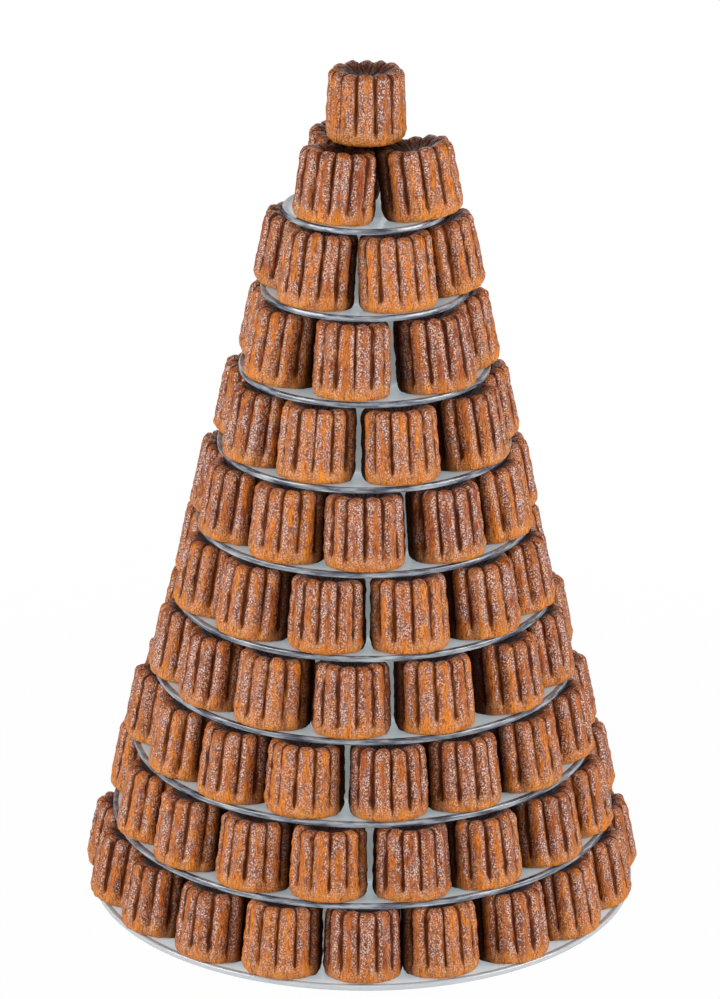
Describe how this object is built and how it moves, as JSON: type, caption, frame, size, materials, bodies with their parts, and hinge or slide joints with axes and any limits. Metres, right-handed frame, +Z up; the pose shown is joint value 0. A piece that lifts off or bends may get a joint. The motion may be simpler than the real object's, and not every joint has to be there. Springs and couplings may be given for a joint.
{
  "type": "tower of fluted caramelised cakes on a tiered tray stand",
  "caption": "Cone-shaped festive tower of small fluted caramelised cakes, ringed on a clear tiered tray stand with one cake on top.",
  "frame": {"origin": "middle of the flat foot of the stand, on the surface it stands on", "axes": "+Z up through the tower, -Y towards the side shown in the picture, +X to its right"},
  "size_m": [0.3385, 0.3327, 0.5154],
  "materials": {
    "baked_crust": "satin caramelised crust",
    "clear_tray": "clear glossy sheet"
  },
  "bodies": {
    "root": {"cake_top": "baked_crust", "cakes_10_1": "baked_crust", "cakes_10_2": "baked_crust", "cakes_10_3": "baked_crust", "cakes_10_4": "baked_crust", "cakes_10_5": "baked_crust", "cakes_10_6": "baked_crust", "cakes_1_1": "baked_crust", "cakes_1_2": "baked_crust", "cakes_1_3": "baked_crust", "cakes_2_1": "baked_crust", "cakes_2_2": "baked_crust", "cakes_2_3": "baked_crust", "cakes_2_4": "baked_crust", "cakes_3_1": "baked_crust", "cakes_3_2": "baked_crust", "cakes_3_3": "baked_crust", "cakes_3_4": "baked_crust", "cakes_4_1": "baked_crust", "cakes_4_2": "baked_crust", "cakes_4_3": "baked_crust", "cakes_4_4": "baked_crust", "cakes_4_5": "baked_crust", "cakes_5_1": "baked_crust", "cakes_5_2": "baked_crust", "cakes_5_3": "baked_crust", "cakes_5_4": "baked_crust", "cakes_5_5": "baked_crust", "cakes_6_1": "baked_crust", "cakes_6_2": "baked_crust", "cakes_6_3": "baked_crust", "cakes_6_4": "baked_crust", "cakes_6_5": "baked_crust", "cakes_6_6": "baked_crust", "cakes_7_1": "baked_crust", "cakes_7_2": "baked_crust", "cakes_7_3": "baked_crust", "cakes_7_4": "baked_crust", "cakes_7_5": "baked_crust", "cakes_8_1": "baked_crust", "cakes_8_2": "baked_crust", "cakes_8_3": "baked_crust", "cakes_8_4": "baked_crust", "cakes_8_5": "baked_crust", "cakes_9_1": "baked_crust", "cakes_9_2": "baked_crust", "cakes_9_3": "baked_crust", "cakes_9_4": "baked_crust", "cakes_9_5": "baked_crust", "cakes_9_6": "baked_crust", "tray_1": "clear_tray", "tray_10": "clear_tray", "tray_2": "clear_tray", "tray_3": "clear_tray", "tray_4": "clear_tray", "tray_5": "clear_tray", "tray_6": "clear_tray", "tray_7": "clear_tray", "tray_8": "clear_tray", "tray_9": "clear_tray"}
  },
  "joints": []
}
